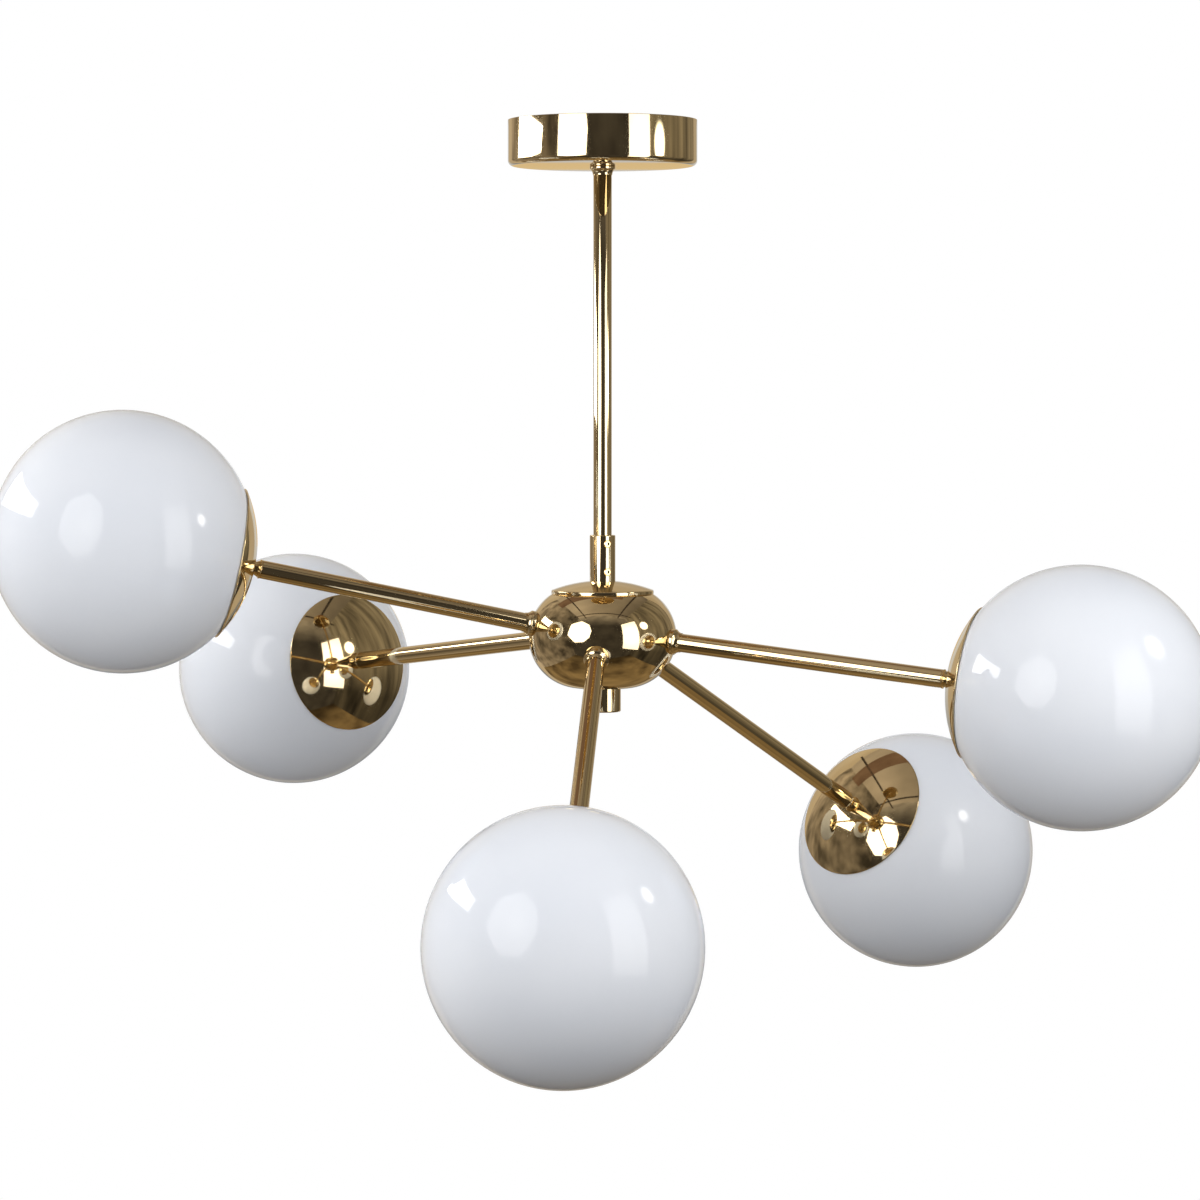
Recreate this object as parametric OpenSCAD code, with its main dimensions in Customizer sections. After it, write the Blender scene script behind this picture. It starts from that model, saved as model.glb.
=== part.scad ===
// Ceiling light: five opal glass globes on polished arms round a squat hub.
// Millimetres. The origin is the centre of the canopy on the ceiling, the light hangs down to -Z,
// and -Y is the side seen from the front.

/* [Canopy] */
// Outer diameter of the canopy
canopy_d = 103; // [96:1:130]
// Height of the canopy, from the ceiling to its lower face
canopy_h = 25; // [23:0.5:40]
// Sheet thickness of the canopy
canopy_wall = 1; // [0.6:0.1:2]
// Outer radius of the canopy's lower edge
canopy_edge_r = 3; // [2.5:0.5:6]

/* [Ceiling bracket] */
// Length of the bracket strap, end to end
strap_l = 88; // [84:1:90]
// Width of the strap
strap_w = 18; // [16:1:24]
// Thickness of the strap
strap_t = 2; // [1.5:0.5:3]
// How far the middle of the strap stands off the ceiling, to its lower face
strap_drop = 10; // [9:0.5:12]
// Half length of the flat middle of the strap
bridge_half = 27; // [26:0.5:28]
// Distance between the centres of the two ceiling screw slots
slot_spacing = 76; // [74:0.5:78]
// Width of a ceiling screw slot
slot_w = 4.5; // [3.5:0.5:5]
// Length of a ceiling screw slot, end to end
slot_l = 8; // [6:0.5:9]

/* [Stem] */
// Distance from the ceiling down to the hub's widest level
hub_drop = 281.5; // [220:0.5:600]
// Outer diameter of the stem
stem_d = 10; // [9:0.5:12]
// Wall of the stem
stem_wall = 1.1; // [0.8:0.1:1.5]
// Outer diameter of the sleeve at the foot of the stem
sleeve_d = 14; // [13:0.5:18]
// Length of the sleeve
sleeve_l = 24.9; // [23:0.1:40]
// Thickness of the sleeve's floor
sleeve_floor = 2.8; // [2:0.1:2.8]
// Height of the lower set screw above the foot of the sleeve
screw_low = 4.9; // [4.9:0.1:8]
// Height of the upper set screw above the foot of the sleeve
screw_high = 20.2; // [14:0.1:21]
// Diameter of the set screws
set_screw_d = 4; // [3:0.5:4]
// Direction that the set screws face, turned from +X
set_screw_turn = -66; // [-180:1:180]

/* [Hub] */
// Greatest diameter of the hub
hub_d = 81; // [76:0.5:90]
// Radius of the hub's rounded side
hub_side_r = 28; // [27:0.5:30]
// Height of the bowl's mouth above the hub's widest level
mouth_rise = 23.5; // [22:0.5:25]
// Sheet thickness of the bowl and the lid
hub_wall = 1.2; // [0.8:0.1:1.6]
// How far the lid stands past the bowl's mouth
lid_lap = 0.3; // [0:0.1:2]
// Height of the lid's turned-down edge
lid_edge = 2; // [1.3:0.1:3]
// Rise of the lid's dome above its edge
lid_rise = 5.3; // [3:0.1:7]
// Depth of the lip that locates the lid in the bowl
lip_h = 3; // [2:0.5:4]
// Outer diameter of the threaded tie rod
rod_d = 8; // [7:0.5:8]
// Bore of the tie rod
rod_bore = 5.5; // [4:0.5:5.5]
// Diameter of the two cross holes for the leads in the tie rod
rod_window_d = 4; // [3:0.5:5]
// Diameter of the finial
finial_d = 20; // [16:0.5:22]
// Height of the finial
finial_h = 13; // [12:0.5:20]
// Depth of the finial's threaded hole
finial_hole = 9; // [6:0.5:9]
// Radius of the finial's lower edge
finial_edge_r = 0.8; // [0.5:0.1:1.5]

/* [Arms] */
// Direction of each arm, turned from +X: left front, left rear, front, right rear, right front
arm_turn = [193.5, 127.5, 265, 47, 340.5]; // [0:0.5:360]
// Upward tilt of each arm, in the same order
arm_tilt = [11.8, -6.7, -34.9, -28, -6.3]; // [-45:0.1:45]
// Height of each arm's centre line over the hub's widest level, where it passes the arm ring
arm_rise = [1.5, 1.5, 10.5, 1.5, 1.5]; // [-2:0.1:12]
// Length of a short arm's tube
short_arm = 165; // [140:1:200]
// Length of a long arm's tube
long_arm = 208; // [160:1:260]
// Radius of the ring round the hub's axis that every arm's centre line passes through
arm_ring_r = 9.6; // [6:0.1:12]
// Length of a tube inside the hub, from its skin
arm_inside = 12.9; // [11:0.1:14]
// Outer diameter of an arm's tube
arm_d = 10; // [9:0.5:11]
// Wall of an arm's tube
arm_wall = 1; // [0.8:0.1:1.2]
// Length of the cone between a tube and its cap
neck_l = 4; // [3:0.1:8]
// Diameter of the cone where it meets the cap
neck_tip_d = 6.8; // [6.6:0.1:8]
// Diameter of the hollow stud through the cap
stud_d = 6; // [5.5:0.1:6]
// Bore of the stud
stud_bore = 4; // [3:0.1:4.2]

/* [Bell rings] */
// Greatest diameter of a bell ring
bell_d = 14; // [13:0.5:18]
// Height of a bell ring
bell_h = 4.8; // [4:0.1:7]
// Height of a bell ring's straight band
bell_band = 0.8; // [0.5:0.1:2]

/* [Globes] */
// Outer diameter of a globe
globe_d = 140; // [120:1:160]
// Thickness of the glass
glass_t = 2.2; // [1.8:0.1:3]
// Diameter of a globe's mouth
mouth_d = 60; // [50:1:64]

/* [Caps] */
// Diameter of a cap across its rim
cap_d = 81; // [76:1:90]
// Sheet thickness of a cap
cap_wall = 0.8; // [0.5:0.1:1.2]
// Gap between a globe and its cap
cap_gap = 0.3; // [0.3:0.1:0.8]

/* [Glass clips] */
// Thickness of the spring sheet
clip_t = 0.8; // [0.5:0.1:1]
// Diameter of the clip's plate
clip_plate_d = 20; // [18:1:26]
// Number of spring fingers
clip_fingers = 3; // [3:1:6]
// Angle that a finger covers
clip_finger_angle = 18; // [10:1:30]
// Gap between a finger and the edge of the mouth
clip_gap = 0.4; // [0.3:0.1:1]

/* [Lampholders and bulbs] */
// Diameter of a lampholder
holder_d = 22; // [20:0.5:26]
// Height of a lampholder's body
holder_h = 14; // [12:0.5:20]
// Height of a lampholder's foot
holder_foot_h = 2; // [1.5:0.5:3]
// Distance between the two pins of a bulb
pin_spacing = 9; // [8:0.5:10]
// Diameter of a bulb's pin
pin_d = 1.2; // [1:0.1:1.4]
// Length of a bulb's pin
pin_l = 6.5; // [5:0.1:7]
// Diameter of a bulb's base
bulb_base_d = 17; // [15:0.5:20]
// Height of a bulb's base
bulb_base_h = 10; // [8:0.5:14]
// Diameter of a bulb's envelope
bulb_d = 15; // [12:0.5:17]
// Length of a bulb's envelope, with its round end
bulb_l = 34; // [24:1:40]

/* [Hidden] */
LIGHTS = ["left_front", "left_rear", "front", "right_rear", "right_front"];
PIECES_OF_A_LIGHT = ["arm_tube", "arm_flange", "arm_neck", "cap", "glass_clip", "lampholder", "bulb", "globe"];
$fn = 96;

brass_colour = [0.83, 0.66, 0.37];
steel_colour = [0.72, 0.73, 0.75];
glass_colour = [0.93, 0.94, 0.96];
ceramic_colour = [0.95, 0.94, 0.90];
plastic_colour = [0.90, 0.90, 0.88];

// Radial clearances: a fit that turns or slides, a thread or fixed fit, and a loose hole
running_fit = 0.05;
thread_fit = 0.02;
loose_fit = 0.3;
// Gap between flat faces that part when the light is adjusted
face_gap = 0.3;
// Thickness of a bell ring's thin end
bell_lip = 0.3;
// How far a cutting solid runs past what it cuts
past = 1;

// Canopy and bracket
canopy_r = canopy_d / 2;
stem_r = stem_d / 2;
strap_slope = 6;
earth_inset = 6;
earth_x = earth_inset - bridge_half;
earth_d = 4;
earth_head_d = 8;
earth_head_h = 2.4;
earth_nut_w = 7;
earth_nut_h = 3;
earth_past_nut = 1;
stem_nut_w = 17;
stem_nut_h = 4;
stem_past_nut = 1.25;
pole_pitch = 8;
pole_gap = 0.8;
poles = 3;
block_l = 13;
block_h = 11;
block_web = 9;
block_inset = 8;
block_x = bridge_half - block_inset;
wire_hole_w = 3;
wire_hole_up = 1;
terminal_screw_d = 2.6;
terminal_screw_l = 4;
terminal_screw_inset = 3.5;
terminal_screw_sunk = 1;
terminal_hole_gap = 0.1;

// Levels along the hub's axis
mid_z = -hub_drop;
hub_r = hub_d / 2;
hub_core_r = hub_r - hub_side_r;
hub_in_r = hub_side_r - hub_wall;
mouth_z = mid_z + mouth_rise;
floor_z = mid_z - hub_side_r;
mouth_in_r = hub_core_r + sqrt(pow(hub_in_r, 2) - pow(mouth_rise, 2));
mouth_out_r = hub_core_r + sqrt(pow(hub_side_r, 2) - pow(mouth_rise, 2));
lid_r = mouth_out_r + lid_lap;
lid_dome_r = (pow(lid_r, 2) + pow(lid_rise, 2)) / (2 * lid_rise);
lid_top_z = mouth_z + lid_edge + lid_rise;
lid_facets = 720;
lip_t = 1;
lip_gap = 0.1;
hub_seam_turn = 31;
sleeve_r = sleeve_d / 2;
sleeve_z = lid_top_z;
sleeve_chamfer = 0.5;
rod_r = rod_d / 2;
rod_top_z = sleeve_z + sleeve_floor;
rod_end_gap = 1;
rod_end_z = floor_z - finial_hole + rod_end_gap;
rod_nut_w = 13;
rod_nut_h = 4;
set_screw_r = set_screw_d / 2;
hex_key_w = 2;
hex_key_deep = 1.2;
collar_screw_d = 2.5;
collar_screw_h = 1.5;

// Arms: local +Z runs outward along the arm from the arm ring
arm_r = arm_d / 2;
arm_length = [short_arm, long_arm, short_arm, long_arm, short_arm];
arm_nut_w = 14;
arm_nut_h = 4;
arm_nut_back = 3.8;
flange_skirt = 3;
neck_spigot_l = 8;
neck_band = 1;
neck_band_step = 0.25;
stud_grip = 7;

// Globes and caps: local origin at the globe's centre, its mouth towards -Z
globe_r = globe_d / 2;
mouth_r = mouth_d / 2;
cap_in_r = globe_r + cap_gap;
cap_out_r = cap_in_r + cap_wall;
cap_rim_z = -sqrt(pow(cap_out_r, 2) - pow(cap_d / 2, 2));
stud_r = stud_d / 2;
mouth_edge_z = -sqrt(pow(globe_r, 2) - pow(mouth_r, 2));
bead_r = glass_t / 2;
bead_ring_r = mouth_r + bead_r;
bead_z = -sqrt(pow(globe_r - bead_r, 2) - pow(bead_ring_r, 2));

// Glass clip, lampholder and bulb, stacked on the inside of the cap
clip_plate_r = clip_plate_d / 2;
clip_z = -sqrt(pow(cap_in_r, 2) - pow(clip_plate_r, 2));
grip_r = mouth_r - clip_gap - clip_t / 2;
clip_lift = 0.3;
clip_bend_inset = 6;
clip_rise = 3.2;
clip_grip_l = 1.6;
clip_tail_l = 3.2;
clip_tail_in = 2.4;
holder_r = holder_d / 2;
holder_foot_r = 7;
holder_z = clip_z + clip_t;
holder_face_z = holder_z + holder_foot_h + holder_h;
holder_chamfer = 1.5;
pin_hole_gap = 0.4;
pin_hole_deep = 8;
bulb_z = holder_face_z + face_gap;
bulb_rib_d = 1;
bulb_ribs = 12;
bulb_rib_up = 1;

// A point on the arm's axis, counted from the arm ring, where the axis leaves the hub's side
function hub_skin(i) =
  let (
    across = arm_ring_r - hub_core_r,
    along = across * cos(arm_tilt[i]) + arm_rise[i] * sin(arm_tilt[i]),
    rest = pow(across, 2) + pow(arm_rise[i], 2) - pow(hub_side_r, 2)
  )
  -along + sqrt(pow(along, 2) - rest);

// Distances from the arm ring to the inner and outer end of a tube
function arm_start(i) = hub_skin(i) - arm_inside;
function arm_end(i) = arm_start(i) + arm_length[i];

// Distance from the arm ring to the centre of a globe
function reach(i) = arm_end(i) + neck_l + cap_out_r;

// Height of the inside of a cap at a distance from its axis
function cap_inside(r) = -sqrt(pow(cap_in_r, 2) - pow(r, 2));

// Direction of a path at a point, as the mean of the stretches that meet there
function unit(v) = v / norm(v);
function heading(path, k) =
  let (last = len(path) - 1)
  unit(
    (k > 0 ? unit(path[k] - path[k - 1]) : [0, 0]) +
    (k < last ? unit(path[k + 1] - path[k]) : [0, 0])
  );

// How much a mitre at a bend is longer than half the thickness
function mitre(path, k) =
  (k == 0 || k == len(path) - 1) ? 1 : 1 / (heading(path, k) * unit(path[k + 1] - path[k]));

// Outline of a bent strip of a given thickness along a path
function strip(path, t) =
  let (side = [for (k = [0 : len(path) - 1]) [-heading(path, k)[1], heading(path, k)[0]] * mitre(path, k) * t / 2])
  concat(
    [for (k = [0 : len(path) - 1]) path[k] + side[k]],
    [for (k = [len(path) - 1 : -1 : 0]) path[k] - side[k]]
  );

// Keeps what lies on the +X side, ready to be revolved
module right_half(size) {
  intersection() {
    children();
    translate([0, -size]) square([size, 2 * size]);
  }
}

// Places its children on an arm, with +Z outward from the arm ring
module on_arm(i) {
  translate([0, 0, mid_z + arm_rise[i]]) rotate([0, 0, arm_turn[i]])
    translate([arm_ring_r, 0, 0]) rotate([0, 90 - arm_tilt[i], 0]) children();
}

// Places its children at the centre of a globe, with the mouth towards -Z
module at_globe(i) {
  on_arm(i) translate([0, 0, reach(i)]) children();
}

// Hexagon nut standing on z = 0
module nut(width, height, hole_r) {
  difference() {
    cylinder(d = width / cos(30), h = height, $fn = 6);
    translate([0, 0, -past]) cylinder(r = hole_r, h = height + 2 * past);
  }
}

// Grub screw along +X from its tip, with a hexagon socket in its outer end
module grub_screw(tip, end, screw_r) {
  difference() {
    translate([tip, 0, 0]) rotate([0, 90, 0]) cylinder(r = screw_r, h = end - tip);
    translate([end - hex_key_deep, 0, 0]) rotate([0, 90, 0])
      cylinder(d = hex_key_w / cos(30), h = hex_key_deep + past, $fn = 6);
  }
}

// Bell ring standing on z = 0 with its wide band down and a hollow flare above it
module bell(hole_r, waist_r) {
  flare = bell_h - bell_band;
  rotate_extrude() difference() {
    translate([hole_r, 0]) square([bell_d / 2 - hole_r, bell_h]);
    translate([waist_r + flare, bell_h]) circle(flare);
  }
}

// Closed round cup profile with a rounded lower edge, from z = -height to 0
module cup_profile(r, height, edge) {
  translate([0, -height]) square([r - edge, height]);
  translate([0, -height + edge]) square([r, height - edge]);
  right_half(r) translate([r - edge, -height + edge]) circle(edge);
}

module canopy() {
  color(brass_colour) difference() {
    rotate_extrude() difference() {
      cup_profile(canopy_r, canopy_h, canopy_edge_r);
      translate([0, past])
        cup_profile(canopy_r - canopy_wall, canopy_h - canopy_wall + past, canopy_edge_r - canopy_wall);
    }
    translate([0, 0, -canopy_h - past]) cylinder(r = stem_r + loose_fit, h = canopy_wall + 2 * past);
  }
}

module canopy_collar() {
  color(brass_colour) difference() {
    translate([0, 0, -canopy_h]) mirror([0, 0, 1]) bell(stem_r + running_fit, stem_r + bell_lip);
    translate([0, 0, -canopy_h - collar_screw_h]) rotate([0, 0, 90])
      rotate([0, 90, 0]) cylinder(d = collar_screw_d + 2 * thread_fit, h = bell_d);
  }
}

module collar_screw() {
  color(brass_colour) translate([0, 0, -canopy_h - collar_screw_h]) rotate([0, 0, 90])
    rotate([0, 90, 0]) translate([0, 0, stem_r + 2 * running_fit])
      cylinder(d = collar_screw_d, h = bell_d / 2 - stem_r - 4 * running_fit);
}

// Bridged strap with a slot at each end, a centre hole and an earth hole
module ceiling_bracket() {
  end_x = strap_l / 2;
  low = strap_drop - strap_t / 2;
  path = [
    [-end_x, -strap_t / 2], [-bridge_half - strap_slope, -strap_t / 2], [-bridge_half, -low],
    [bridge_half, -low], [bridge_half + strap_slope, -strap_t / 2], [end_x, -strap_t / 2]
  ];
  color(steel_colour) difference() {
    translate([0, strap_w / 2, 0]) rotate([90, 0, 0]) linear_extrude(strap_w) polygon(strip(path, strap_t));
    translate([0, 0, -strap_drop - past]) cylinder(r = stem_r + running_fit, h = strap_t + 2 * past);
    translate([earth_x, 0, -strap_drop - past]) cylinder(d = earth_d + 2 * running_fit, h = strap_t + 2 * past);
    for (side = [-1, 1]) translate([side * slot_spacing / 2, 0, -strap_t - past]) {
      cube_l = slot_l - slot_w;
      translate([-cube_l / 2, -slot_w / 2, 0]) cube([cube_l, slot_w, strap_t + 2 * past]);
      for (end = [-1, 1]) translate([end * cube_l / 2, 0, 0]) cylinder(d = slot_w, h = strap_t + 2 * past);
    }
  }
}

// Earth screw with its head under the strap and its nut above
module earth_screw() {
  color(steel_colour) translate([earth_x, 0, -strap_drop]) {
    translate([0, 0, -earth_head_h]) cylinder(d = earth_head_d, h = earth_head_h);
    cylinder(d = earth_d, h = strap_t + earth_nut_h + earth_past_nut);
    translate([0, 0, strap_t]) nut(earth_nut_w, earth_nut_h, earth_d / 2);
  }
}

// Places its children at each end of each pole of the terminal block
module at_terminals() {
  for (k = [0 : poles - 1]) for (side = [-1, 1])
    translate([
      block_x + side * (block_l / 2 - terminal_screw_inset),
      (k - (poles - 1) / 2) * pole_pitch,
      -strap_drop - block_h
    ]) children();
}

module terminal_block() {
  pole_w = pole_pitch - pole_gap;
  color(plastic_colour) difference() {
    union() {
      for (k = [0 : poles - 1])
        translate([block_x - block_l / 2, (k - (poles - 1) / 2) * pole_pitch - pole_w / 2, -strap_drop - block_h])
          cube([block_l, pole_w, block_h]);
      translate([block_x - block_web / 2, -(poles - 1) / 2 * pole_pitch, -strap_drop - block_web])
        cube([block_web, (poles - 1) * pole_pitch, block_web]);
    }
    at_terminals() translate([0, 0, -past])
      cylinder(d = terminal_screw_d + 2 * terminal_hole_gap, h = terminal_screw_l + 2 * past);
    for (k = [0 : poles - 1])
      translate([
        block_x - block_l,
        (k - (poles - 1) / 2) * pole_pitch - wire_hole_w / 2,
        -strap_drop - block_h / 2 + wire_hole_up - wire_hole_w / 2
      ]) cube([2 * block_l, wire_hole_w, wire_hole_w]);
  }
}

module terminal_screws() {
  color(steel_colour) at_terminals() translate([0, 0, terminal_screw_sunk])
    cylinder(d = terminal_screw_d, h = terminal_screw_l);
}

// One nut above the strap and one below it
module stem_nuts() {
  color(steel_colour) {
    translate([0, 0, -strap_drop + strap_t]) nut(stem_nut_w, stem_nut_h, stem_r + thread_fit);
    translate([0, 0, -strap_drop - stem_nut_h]) nut(stem_nut_w, stem_nut_h, stem_r + thread_fit);
  }
}

module stem() {
  top_z = -strap_drop + strap_t + stem_nut_h + stem_past_nut;
  foot_z = sleeve_z + sleeve_floor + face_gap;
  color(brass_colour) translate([0, 0, foot_z]) difference() {
    cylinder(r = stem_r, h = top_z - foot_z);
    translate([0, 0, -past]) cylinder(r = stem_r - stem_wall, h = top_z - foot_z + 2 * past);
  }
}

// Places its children at the level and direction of each set screw of the sleeve
module at_set_screws() {
  for (level = [screw_low, screw_high])
    translate([0, 0, sleeve_z + level]) rotate([0, 0, set_screw_turn]) children();
}

// Solid dome of the lid, with a radius for its skin
module lid_dome(skin_r) {
  translate([0, 0, lid_top_z - lid_dome_r]) sphere(r = skin_r);
}

module sleeve() {
  color(brass_colour) difference() {
    translate([0, 0, sleeve_z - lid_edge]) union() {
      cylinder(r = sleeve_r, h = sleeve_l + lid_edge - sleeve_chamfer);
      translate([0, 0, sleeve_l + lid_edge - sleeve_chamfer])
        cylinder(r1 = sleeve_r, r2 = sleeve_r - sleeve_chamfer, h = sleeve_chamfer);
    }
    lid_dome(lid_dome_r + thread_fit);
    translate([0, 0, sleeve_z + sleeve_floor]) cylinder(r = stem_r + running_fit, h = sleeve_l);
    translate([0, 0, sleeve_z - past]) cylinder(r = rod_r + thread_fit, h = sleeve_floor + 2 * past);
    at_set_screws() rotate([0, 90, 0]) cylinder(r = set_screw_r + thread_fit, h = sleeve_d);
  }
}

module sleeve_screws() {
  color(brass_colour) at_set_screws() grub_screw(stem_r + 2 * running_fit, sleeve_r, set_screw_r);
}

// Half outline of the hub round its widest level, grown or shrunk by a distance
module hub_outline(grow) {
  size = hub_r + hub_side_r;
  right_half(size) translate([hub_core_r, 0]) circle(hub_side_r + grow);
  translate([0, -hub_side_r - grow]) square([hub_core_r, 2 * (hub_side_r + grow)]);
}

// Whole outer solid of the hub, which what sits on it is cut to
module hub_skin_solid(grow) {
  translate([0, 0, mid_z]) rotate_extrude() hub_outline(grow);
}

// Bowl turned so that its seam lies clear of every arm
module hub_bowl() {
  color(brass_colour) difference() {
    translate([0, 0, mid_z]) rotate([0, 0, hub_seam_turn]) rotate_extrude() difference() {
      hub_outline(0);
      hub_outline(-hub_wall);
      translate([0, mouth_rise]) square([hub_r + past, hub_side_r]);
    }
    translate([0, 0, floor_z - past]) cylinder(r = rod_r + running_fit, h = hub_wall + 2 * past);
    for (i = [0 : len(LIGHTS) - 1])
      on_arm(i) translate([0, 0, arm_start(i)]) cylinder(r = arm_r + running_fit, h = hub_r);
  }
}

// Half section of the lid's dome, with a radius for its skin
module lid_section(skin_r) {
  translate([0, lid_edge + lid_rise - lid_dome_r]) circle(skin_r, $fn = lid_facets);
}

// Shallow dome with a turned-down edge, a locating lip and a hole for the tie rod
module hub_lid() {
  lid_h = lid_edge + lid_rise;
  color(brass_colour) translate([0, 0, mouth_z]) rotate_extrude() difference() {
    intersection() {
      lid_section(lid_dome_r);
      union() {
        difference() {
          square([lid_r, lid_h]);
          lid_section(lid_dome_r - hub_wall);
        }
        translate([lid_r - hub_wall, 0]) square([hub_wall, lid_h]);
        translate([mouth_in_r - lip_gap - lip_t, -lip_h]) square([lip_t, lip_h + lid_h]);
      }
    }
    translate([0, -lip_h - past]) square([rod_r + running_fit, lip_h + lid_h + 2 * past]);
  }
}

module tie_rod() {
  window_z = (mouth_z + floor_z) / 2;
  color(steel_colour) difference() {
    translate([0, 0, rod_end_z]) cylinder(r = rod_r, h = rod_top_z - rod_end_z);
    translate([0, 0, rod_end_z - past]) cylinder(d = rod_bore, h = rod_top_z - rod_end_z + 2 * past);
    for (turn = [0, 90]) translate([0, 0, window_z]) rotate([0, 0, turn])
      rotate([0, 90, 0]) cylinder(d = rod_window_d, h = 2 * rod_d, center = true);
  }
}

// One nut up against the lid and one on the floor of the bowl
module rod_nuts() {
  lid_sag = lid_dome_r - sqrt(pow(lid_dome_r, 2) - pow(rod_nut_w / sqrt(3), 2));
  color(steel_colour) {
    translate([0, 0, lid_top_z - hub_wall - lid_sag - rod_nut_h]) nut(rod_nut_w, rod_nut_h, rod_r + thread_fit);
    translate([0, 0, floor_z + hub_wall]) nut(rod_nut_w, rod_nut_h, rod_r + thread_fit);
  }
}

module finial() {
  color(brass_colour) translate([0, 0, floor_z]) rotate_extrude() difference() {
    cup_profile(finial_d / 2, finial_h, finial_edge_r);
    translate([0, -finial_hole]) square([rod_r + thread_fit, finial_hole + past]);
  }
}

module arm_nuts() {
  color(steel_colour) for (i = [0 : len(LIGHTS) - 1])
    on_arm(i) translate([0, 0, hub_skin(i) - hub_wall - arm_nut_back - arm_nut_h])
      nut(arm_nut_w, arm_nut_h, arm_r + thread_fit);
}

module arm_tube(i) {
  color(brass_colour) on_arm(i) translate([0, 0, arm_start(i)]) difference() {
    cylinder(r = arm_r, h = arm_length[i]);
    translate([0, 0, -past]) cylinder(r = arm_r - arm_wall, h = arm_length[i] + 2 * past);
  }
}

// Bell ring round an arm, cut to the side of the hub
module arm_flange(i) {
  color(brass_colour) difference() {
    on_arm(i) translate([0, 0, hub_skin(i)]) union() {
      bell(arm_r + thread_fit, arm_r + bell_lip);
      translate([0, 0, -flange_skirt]) difference() {
        cylinder(d = bell_d, h = flange_skirt);
        translate([0, 0, -past]) cylinder(r = arm_r + thread_fit, h = flange_skirt + 2 * past);
      }
    }
    hub_skin_solid(thread_fit);
  }
}

// Plug in the end of the tube, thin band, cone down to the cap and hollow stud through it
module arm_neck(i) {
  plug_r = arm_r - arm_wall - thread_fit;
  stud_end = neck_l + cap_out_r + holder_z + stud_grip;
  color(brass_colour) on_arm(i) translate([0, 0, arm_end(i)]) difference() {
    union() {
      translate([0, 0, -neck_spigot_l]) cylinder(r = plug_r, h = neck_spigot_l);
      cylinder(r = arm_r + neck_band_step, h = neck_band);
      translate([0, 0, neck_band]) cylinder(r1 = arm_r - neck_band_step, d2 = neck_tip_d, h = neck_l - neck_band);
      cylinder(r = stud_r, h = stud_end);
    }
    translate([0, 0, -neck_spigot_l - past]) cylinder(d = stud_bore, h = neck_spigot_l + stud_end + 2 * past);
  }
}

// Shallow spun cap that follows the globe's outside
module cap(i) {
  color(brass_colour) at_globe(i) difference() {
    intersection() {
      sphere(r = cap_out_r);
      translate([0, 0, -cap_out_r - past]) cylinder(d = cap_d + past, h = cap_out_r + past + cap_rim_z);
    }
    sphere(r = cap_in_r);
    translate([0, 0, -cap_out_r - past]) cylinder(r = stud_r + running_fit, h = 2 * past + cap_wall);
  }
}

// Spring plate with bent fingers that reach through the globe's mouth
module glass_clip(i) {
  mid = clip_z + clip_t / 2;
  bend_r = mouth_r - clip_bend_inset;
  grip_z = mouth_edge_z + clip_rise;
  path = [
    [clip_plate_r / 2, mid], [clip_plate_r, mid], [bend_r, cap_inside(bend_r) + clip_lift + clip_t],
    [grip_r - clip_t, mouth_edge_z + clip_t / 2], [grip_r, grip_z], [grip_r, grip_z + clip_grip_l],
    [grip_r - clip_tail_in, grip_z + clip_grip_l + clip_tail_l]
  ];
  color(steel_colour) at_globe(i) difference() {
    union() {
      translate([0, 0, clip_z]) cylinder(r = clip_plate_r, h = clip_t);
      for (k = [0 : clip_fingers - 1]) rotate([0, 0, k * 360 / clip_fingers - clip_finger_angle / 2])
        rotate_extrude(angle = clip_finger_angle) polygon(strip(path, clip_t));
    }
    translate([0, 0, clip_z - past]) cylinder(r = stud_r + running_fit, h = clip_t + 2 * past);
  }
}

// Ceramic two-pin holder with a threaded foot
module lampholder(i) {
  color(ceramic_colour) at_globe(i) difference() {
    translate([0, 0, holder_z]) union() {
      cylinder(r = holder_foot_r, h = holder_foot_h);
      translate([0, 0, holder_foot_h]) cylinder(r = holder_r, h = holder_h - holder_chamfer);
      translate([0, 0, holder_foot_h + holder_h - holder_chamfer])
        cylinder(r1 = holder_r, r2 = holder_r - holder_chamfer, h = holder_chamfer);
    }
    translate([0, 0, holder_z - past]) cylinder(r = stud_r + thread_fit, h = stud_grip + 2 * past);
    for (side = [-1, 1]) translate([side * pin_spacing / 2, 0, holder_face_z - pin_hole_deep])
      cylinder(d = pin_d + 2 * pin_hole_gap, h = pin_hole_deep + past);
  }
}

// Capsule lamp: two pins, a ribbed base and a round-ended envelope
module bulb(i) {
  straight = bulb_l - bulb_d / 2;
  color(glass_colour) at_globe(i) translate([0, 0, bulb_z]) {
    for (side = [-1, 1]) translate([side * pin_spacing / 2, 0, -pin_l]) cylinder(d = pin_d, h = pin_l + past);
    difference() {
      cylinder(d = bulb_base_d, h = bulb_base_h);
      for (k = [0 : bulb_ribs - 1]) rotate([0, 0, k * 360 / bulb_ribs])
        translate([bulb_base_d / 2, 0, bulb_rib_up]) cylinder(d = bulb_rib_d, h = bulb_base_h);
    }
    translate([0, 0, bulb_base_h]) cylinder(d = bulb_d, h = straight);
    translate([0, 0, bulb_base_h + straight]) sphere(d = bulb_d);
  }
}

// Blown globe with a thick smooth bead round its mouth
module globe(i) {
  color(glass_colour) at_globe(i) {
    difference() {
      sphere(r = globe_r);
      sphere(r = globe_r - glass_t);
      translate([0, 0, -globe_r - past]) cylinder(r = bead_ring_r, h = globe_r);
    }
    translate([0, 0, bead_z]) rotate_extrude() translate([bead_ring_r, 0]) circle(bead_r);
  }
}

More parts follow.
